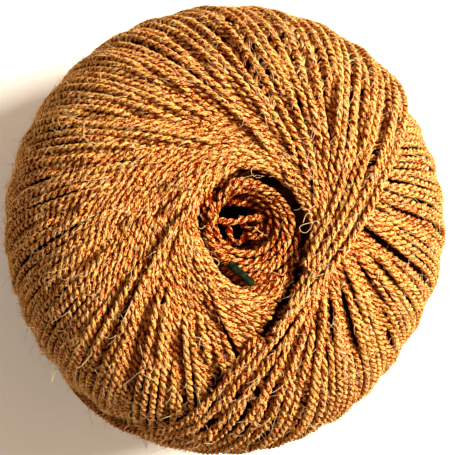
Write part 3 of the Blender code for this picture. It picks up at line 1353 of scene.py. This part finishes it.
@dataclass
class Fuzz:
    """Fibres that stand out of the twine."""

    rng: np.random.Generator
    seeds: float = 900.0
    lowest: float = 0.1
    thins: float = 2.0
    widest_lean: float = 1.2
    root: float = 0.8
    sideways: float = 0.4
    outwards: float = 0.6
    taper: float = 0.55
    thickness: tuple[float, float] = (0.7, 1.3)
    curl_step: float = 0.35
    curl_ends: tuple[float, float] = (0.12, 0.07)
    finish: CoirFinish = CoirFinish(
        "stray_fibre",
        gold=(1.0, 0.68, 0.28),
        straw=(1.0, 0.74, 0.42),
        amber=(0.88, 0.44, 0.12),
        rust=(0.62, 0.20, 0.03),
        shade=(0.30, 0.06, 0.01),
        level=0.75,
        roughness=0.6,
    )

    def grow(self, runs: list[Run], twine: Twine, kind: HairKind, target: Surface) -> None:
        """Grows one kind of fibre on the stretches that show.

        Args:
            runs: The stretches.
            twine: The twine they are made of.
            kind: The kind of fibre.
            target: The mesh that takes them.
        """
        rng, count, joints, sides = self.rng, kind.count, kind.joints, Corners.FIBRE
        line = np.concatenate([run.line[1:-1] for run in runs])
        out = np.concatenate([run.out[1:-1] for run in runs])
        way = np.concatenate([heading(run.line)[1:-1] for run in runs])
        depth = np.concatenate([run.depth[1:-1] for run in runs])
        likely = np.exp(-self.thins * depth)
        pick = rng.choice(len(line), count, p=likely / likely.sum())
        line, out, way, depth = line[pick], out[pick], way[pick], depth[pick]
        across = np.cross(way, out)
        lean = rng.uniform(-self.widest_lean, self.widest_lean, count)[:, None]
        rise = out * np.cos(lean) + across * np.sin(lean)
        start = line + rise * twine.radius * self.root
        forward = way * rng.choice([-1.0, 1.0], count)[:, None]
        lifted = rise * rng.gamma(2.0, kind.lift / 2, count)[:, None]
        aim = unit(forward + lifted + across * rng.normal(0, self.sideways, count)[:, None])
        bend = unit(rng.normal(0, 1, (count, 3)) - out * self.outwards)
        length = rng.uniform(kind.shortest, kind.longest, count)
        t = np.linspace(0, 1, joints)
        angle = rng.normal(0, kind.curl, count)[:, None] * t[None]
        side = unit(np.cross(aim, bend))
        way = aim[:, None] * np.cos(angle)[..., None] + side[:, None] * np.sin(angle)[..., None]
        steps = way[:, :-1] * (length / (joints - 1))[:, None, None]
        path = start[:, None] + np.concatenate([np.zeros((count, 1, 3)), np.cumsum(steps, axis=1)], axis=1)
        thick = kind.radius * rng.uniform(*self.thickness, count)[:, None] * (1 - self.taper * t)[None]
        first = unit(np.cross(way, bend[:, None]))[:, :, None]
        second = np.cross(way[:, :, None], first)
        corner = (np.arange(sides) * FULL_TURN / sides)[None, None, :, None]
        ring = (first * np.cos(corner) + second * np.sin(corner)) * thick[:, :, None, None]
        points = path[:, :, None] + ring
        each = joints * sides
        faces = closed_skin(joints, sides)[None] + (np.arange(count) * each)[:, None, None]
        seed = rng.uniform(0, self.seeds, count)[:, None] + length[:, None] * t[None]
        yarn = np.repeat(np.stack([seed, 0 * seed, 0 * seed], axis=-1).reshape(-1, 3), sides, axis=0)
        tone = np.repeat(rng.uniform(0, 1, count), each)
        # Fibres take the full painted highlight of a ply's crown.
        look = np.stack([np.ones_like(tone), tone, np.repeat(depth, each)], axis=1)
        target.add(points.reshape(-1, 3), faces.reshape(-1, 3), yarn, look)

    def place(self, curl: Curl, form: BallForm, target: Surface) -> None:
        """Lays one long fibre over the form.

        Args:
            curl: The fibre.
            form: The form it lies over.
            target: The mesh that takes it.
        """
        line = flowing([(x, y, 0.0) for x, y in curl.way], self.curl_step)
        line[:, 2] = form.height(off_axis(line)) + curl.lift
        thick = np.linspace(*self.curl_ends, len(line))
        points, faces, _ = tube(line, np.tile([0.0, 0.0, 1.0], (len(line), 1)), thick, Corners.FIBRE)
        # The long fibre takes the full painted highlight of a ply's crown.
        yarn, look = self.rng.uniform(0, self.seeds, 3), [1.0, 0.9, 0.0]
        target.add(points, faces, np.tile(yarn, (len(points), 1)), np.tile(look, (len(points), 1)))

    def build(self, runs: list[Run], twine: Twine, form: BallForm) -> bpy.types.Object:
        """Builds all fibres as one piece.

        Args:
            runs: The stretches that show.
            twine: The twine they are made of.
            form: The form of the ball.

        Returns:
            The fibres.
        """
        surface = Surface()
        for kind in HAIR_KINDS:
            self.grow(runs, twine, kind, surface)
        for curl in CURLS:
            self.place(curl, form, surface)
        for points in surface.points:
            points += form.up
            points[:, 2] = np.maximum(points[:, 2], self.lowest)
        return surface.make("stray_fibres", self.finish.make(), Slot.WOUND)


class CoreRow(NamedTuple):
    """A ring of the core: its radius, its height, and its share of the lift that the turns' order gives."""

    radius: float
    height: float
    share: float


@dataclass
class Core:
    """The dark inside of the ball as painted shade: a near-black closed body under the turns that fills what
    they leave open.
    """

    form: BallForm
    mouth: Mouth
    columns: int = 72
    least: float = 2.9
    most: float = 4.2
    deepens: tuple[float, float] = (0.45, 0.95)
    lowest: tuple[float, float] = (2.2, 2.0)
    hole_ends: float = 15.0
    hole: tuple[CoreRow, ...] = (
        CoreRow(0.0, 55.0, 0.0),
        CoreRow(5.0, 55.4, 0.0),
        CoreRow(8.2, 57.5, 0.0),
        CoreRow(8.7, 64.0, 0.0),
        CoreRow(8.7, 76.0, 0.0),
        CoreRow(8.8, 84.0, 0.0),
        CoreRow(9.0, 87.0, 0.0),
        CoreRow(10.0, 88.0, 0.0),
        CoreRow(14.0, 88.6, 0.0),
        CoreRow(18.0, 89.2, 0.0),
    )
    dimple: tuple[CoreRow, ...] = (CoreRow(12.0, 6.4, 0.0), CoreRow(7.0, 9.0, 0.0), CoreRow(0.0, 9.6, 0.0))
    shoulder_radii: tuple[float, ...] = (24.0, 30.0)
    shoulder_depth: float = 8.0
    shoulder_slope: float = 0.2
    shoulder_share: float = 0.4
    side_rows: int = 50
    side_from: tuple[float, float] = (34, 16)
    # Near-black, as painted shade in the gaps between the turns.
    finish: PlainFinish = PlainFinish(
        "painted_shade_fill", (0.008, 0.0015, 0.0005), (0.03, 0.006, 0.002), 0.95, 700.0, 0.5, 0.0
    )

    def rows(self) -> list[CoreRow]:
        """The rings, from the bottom of the hole over the top and the sides to the underside.

        Returns:
            The rings in order.
        """
        form, rows = self.form, list(self.hole)
        for radius in self.shoulder_radii:
            height = form.middle + float(form.height(np.array(radius))) - self.shoulder_depth
            height += self.shoulder_slope * (radius - self.shoulder_radii[0])
            rows.append(CoreRow(radius, height, self.shoulder_share))
        power = 2 / form.roundness
        for angle in np.linspace(0.5 * math.pi, -0.5 * math.pi, self.side_rows):
            rise = abs(math.sin(angle))
            inset = self.least + (self.most - self.least) * float(smooth(*self.deepens, rise))
            radius = (form.radius - inset) * max(math.cos(angle), 0.0) ** power
            half = (form.upper if angle > 0 else form.lower) - inset
            height = form.middle + math.copysign(half * rise**power, angle)
            if radius >= self.side_from[0 if angle > 0 else 1]:
                rows.append(CoreRow(radius, max(height, self.lowest[0]), 1.0))
        return rows + list(self.dimple)

    def build(self) -> bpy.types.Object:
        """Builds the core.

        Returns:
            The core.
        """
        form, columns, rows = self.form, self.columns, self.rows()
        turn = np.arange(columns) * FULL_TURN / columns
        rings = []
        for row in rows[1:-1]:
            height = np.full(columns, row.height - form.middle)
            ring = np.stack([row.radius * np.cos(turn), row.radius * np.sin(turn), height], axis=1)
            ring += unit(ring) * (form.level(ring) * row.share)[:, None]
            if row.radius < self.hole_ends and row.height > form.middle:
                ring += self.mouth.shift
            ring[:, 2] = np.maximum(ring[:, 2], self.lowest[1] - form.middle)
            rings.append(ring)
        tips = np.array([[0.0, 0.0, row.height] for row in (rows[0], rows[-1])])
        points = np.concatenate([form.pressed(np.concatenate(rings)) + form.up, tips])
        first, last = len(points) - 2, len(points) - 1
        here, base = np.arange(columns), (len(rings) - 1) * columns
        after = (here + 1) % columns
        faces = [
            skin(len(rings), columns)[:, ::-1],
            np.stack([np.full(columns, first), here, after], 1),
            np.stack([np.full(columns, last), base + after, base + here], 1),
        ]
        surface, nothing = Surface(), np.zeros((len(points), 3))
        surface.add(points, np.concatenate(faces), nothing, nothing)
        return surface.make("painted_shade_core", self.finish.make(), Slot.WOUND)


@dataclass
class WoundBall:
    """The winding as meshes, over its core."""

    form: BallForm
    twine: Twine
    finish: CoirFinish
    rng: np.random.Generator
    piece_limit: int = 196_000

    def build(self) -> list[bpy.types.Object]:
        """Builds the turns, the fibres and the core.

        Returns:
            The pieces that stand for the wound solid.
        """
        winding = Winding(self.form, self.twine, self.rng)
        winding.lay()
        runs = winding.runs + Hollow(winding.mouth, self.twine).stretches(self.form.middle, self.rng)
        material = self.finish.make()
        pieces, surface, faces = [], Surface(), 0
        for run in runs:
            size = 4 * run.corners * len(run.line)
            if faces + size > self.piece_limit:
                pieces.append(surface.make(f"turns_{len(pieces) + 1}", material, Slot.WOUND))
                surface, faces = Surface(), 0
            self.twine.spin(run, self.form.up, self.rng, surface)
            faces += size
        pieces.append(surface.make(f"turns_{len(pieces) + 1}", material, Slot.WOUND))
        pieces.append(Fuzz(self.rng).build(runs, self.twine, self.form))
        pieces.append(Core(self.form, winding.mouth).build())
        return pieces


@dataclass(frozen=True)
class Table:
    """The pale surface that the ball stands on."""

    half_width: float = 4.0
    glow: float = 0.27
    glow_colour: Colour = (1.0, 0.90, 0.74)
    finish: PlainFinish = PlainFinish(
        "pale_floor", (0.86, 0.855, 0.84), (0.90, 0.895, 0.885), 0.6, 30.0, 0.02
    )

    def build(self) -> bpy.types.Object:
        """Builds the floor.

        Returns:
            The floor.
        """
        mesh = bpy.data.meshes.new("floor")
        w = self.half_width
        mesh.from_pydata([(-w, -w, 0), (w, -w, 0), (w, w, 0), (-w, w, 0)], [], [(0, 1, 2, 3)])
        material = self.finish.make()
        shader = material.node_tree.nodes["Principled BSDF"]
        shader.inputs["Emission Color"].default_value = (*self.glow_colour, 1.0)
        shader.inputs["Emission Strength"].default_value = self.glow
        mesh.materials.append(material)
        floor = placed("floor", mesh)
        return floor


@dataclass(frozen=True)
class Lamp:
    """A square soft lamp aimed at the ball: its place and side in metres, its power in watts, its colour."""

    name: str
    place: tuple[float, float, float]
    size: float
    power: float
    colour: Colour
    aim: tuple[float, float, float] = (0.0, 0.0, 0.05)

    def build(self) -> None:
        """Builds the lamp."""
        data = bpy.data.lights.new(self.name, "AREA")
        data.size, data.energy, data.color = self.size, self.power, self.colour
        lamp = placed(self.name, data)
        lamp.location = self.place
        lamp.rotation_mode = "QUATERNION"
        lamp.rotation_quaternion = (Vector(self.place) - Vector(self.aim)).to_track_quat("Z", "Y")


@dataclass(frozen=True)
class Studio:
    """Soft light and the photograph's camera."""

    distance: float = 0.420
    lean: float = math.radians(9.8)
    nod: float = math.radians(1.6)
    view_angle: float = math.radians(18.45)
    sensor: float = 36.0
    middle: tuple[float, float] = (223.2, 229.5)
    frame_size: tuple[int, int] = (453, 455)
    looks_at: tuple[float, float, float] = (0, 0, 0.0485)
    sky: Colour = (1.0, 0.62, 0.40)
    sky_strength: float = 0.10
    lamps: tuple[Lamp, ...] = (
        Lamp("key", (0.98, 0.36, 1.19), 0.50, 60.0, (1.0, 0.955, 0.83)),
        Lamp("fill", (0.6, 0.25, 1.0), 1.6, 6.0, (1.0, 0.66, 0.34)),
    )

    def camera(self) -> None:
        """Sets the camera at the photograph's angle, with its frame round the ball."""
        data = bpy.data.cameras.new("camera")
        data.sensor_fit = "VERTICAL"
        data.sensor_height = self.sensor
        data.lens = self.sensor / 2 / math.tan(self.view_angle / 2)
        data.clip_start, data.clip_end = 0.01, 50.0
        camera = placed("camera", data)
        back = Vector((-math.sin(self.lean), -math.sin(self.nod), math.cos(self.lean))).normalized()
        right = Vector((0.0, 1.0, 0.0)).cross(back).normalized()
        up = back.cross(right)
        width, height = self.frame_size
        pixel = 2 * self.distance * math.tan(self.view_angle / 2) / height
        off = right * ((width / 2 - self.middle[0]) * pixel) + up * ((self.middle[1] - height / 2) * pixel)
        camera.location = Vector(self.looks_at) + off + back * self.distance
        camera.rotation_mode = "QUATERNION"
        camera.rotation_quaternion = Matrix((right, up, back)).transposed().to_quaternion()
        bpy.context.scene.camera = camera

    def build(self) -> None:
        """Builds the camera, the lamps and the sky."""
        self.camera()
        for lamp in self.lamps:
            lamp.build()
        world = bpy.data.worlds.new("studio")
        world.use_nodes = True
        background = world.node_tree.nodes["Background"]
        background.inputs["Color"].default_value = (*self.sky, 1.0)
        background.inputs["Strength"].default_value = self.sky_strength
        bpy.context.scene.world = world
        bpy.context.scene.view_settings.view_transform = "Standard"


@dataclass
class LooseEnd:
    """The inner end of the twine, from the wall of the pull hole across it and round to its taped tip."""

    twine: Twine
    finish: CoirFinish
    rng: np.random.Generator
    route: tuple[tuple[float, float, float], ...] = (
        (3.0, 1.4, 79.0),
        (3.1, 1.6, 83.0),
        (3.0, 1.9, 86.8),
        (2.5, 2.2, 90.0),
        (0.9, 2.1, 92.1),
        (-1.6, 1.5, 93.0),
        (-4.2, 0.9, 93.2),
        (-6.7, 0.9, 93.8),
        (-8.9, 1.2, 94.8),
        (-10.8, 0.9, 95.5),
        (-11.8, -0.8, 95.6),
        (-11.7, -3.1, 95.5),
        (-10.8, -5.2, 95.3),
        (-9.6, -7.0, 95.2),
        (-8.2, -8.6, 95.2),
        (-6.7, -9.9, 95.3),
    )
    step: float = 0.6
    # The cord is painted dark all along, as shade in the mouth.
    depth: float = 2.0
    gap: float = 0.4
    tape_way: tuple[float, float, float] = (0.745, -0.665, 0.035)
    tape_length: float = 8.6
    tape_radius: float = 1.15
    tape_sides: int = 28
    tape_rows: int = 26
    tape_narrows: tuple[tuple[float, float, float], ...] = ((0.10, 0.93, 1.0), (0.06, 0.06, 0.0))
    overlap_at: float = 2.1
    overlap_slant: float = 0.5
    overlap_step: float = 0.08
    crimps: tuple[tuple[float, float, float], ...] = ((0.02, 3, 9), (0.015, 2, 41))
    tape_finish: PlainFinish = PlainFinish(
        "green_tape", (0.002, 0.004, 0.002), (0.022, 0.028, 0.009), 0.75, 620.0, 0.7, 0.06
    )

    def build(self) -> list[bpy.types.Object]:
        """Returns:
            The cord and the tape.
        """
        line = flowing(self.route, self.step)
        way = heading(line)
        out = np.zeros_like(line)
        out[0] = unit(np.cross(way[0], np.array([0.0, 1.0, 0.0])))
        for i in range(1, len(line)):
            out[i] = unit(out[i - 1] - way[i] * (out[i - 1] @ way[i]))
        along = travelled(line)
        surface = Surface()
        # The cord carries painted shade through its depth.
        run = Run(line, out, along, np.full(len(line), self.depth), 0.5, Corners.CORD)
        self.twine.spin(run, np.zeros(3), self.rng, surface)
        cord = surface.make("inner_end", self.finish.make(), Slot.LOOSE)
        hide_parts("loose_end")
        tape = self.tape()
        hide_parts("end_tape")
        return [cord, tape]

    def tape(self) -> bpy.types.Object:
        """The tape, wound once and a little more round the tip, with crimped edges.

        Returns:
            The tape.
        """
        way = unit(np.array(self.tape_way))
        start = np.array(self.route[-1]) + way * self.gap
        t = np.linspace(0, 1, self.tape_rows)
        line = start + way * (t * self.tape_length)[:, None]
        share = np.ones_like(t)
        for lost, low, high in self.tape_narrows:
            share = share - lost * smooth(low, high, t)
        radius = self.tape_radius * share
        first = unit(np.cross(way, np.array([0.0, 0.0, 1.0])))
        points, faces, angle = tube(line, np.tile(first, (self.tape_rows, 1)), radius, self.tape_sides)
        middle, place = np.repeat(line, self.tape_sides, axis=0), np.repeat(t, self.tape_sides)
        flap = np.mod(angle - self.overlap_at + self.overlap_slant * place, FULL_TURN) / FULL_TURN
        dent = 1 - self.overlap_step * (1 - flap)
        for height, round_rate, along_rate in self.crimps:
            dent = dent + height * np.sin(round_rate * angle + along_rate * place)
        surface, nothing = Surface(), np.zeros((len(points), 3))
        surface.add(middle + (points - middle) * dent[:, None], faces, nothing, nothing)
        return surface.make("tip_tape", self.tape_finish.make(), Slot.TAPE)


def main() -> None:
    """Builds the scene, piece by piece, and reports each piece."""
    logging.basicConfig(level=logging.INFO, format="%(message)s")
    rng = np.random.default_rng(8)
    form, twine, coir = BallForm(), Twine(), CoirFinish()
    Studio().build()
    pieces = LooseEnd(twine, coir, rng).build()
    for piece in WoundBall(form, twine, coir, rng).build():
        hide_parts("twine_ball")
        pieces.append(piece)
    pieces.append(Table().build())
    for piece in pieces:
        LOG.info("%s: %d faces", piece.name, len(piece.data.polygons))
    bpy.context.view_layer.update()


if __name__ == "__main__":
    main()
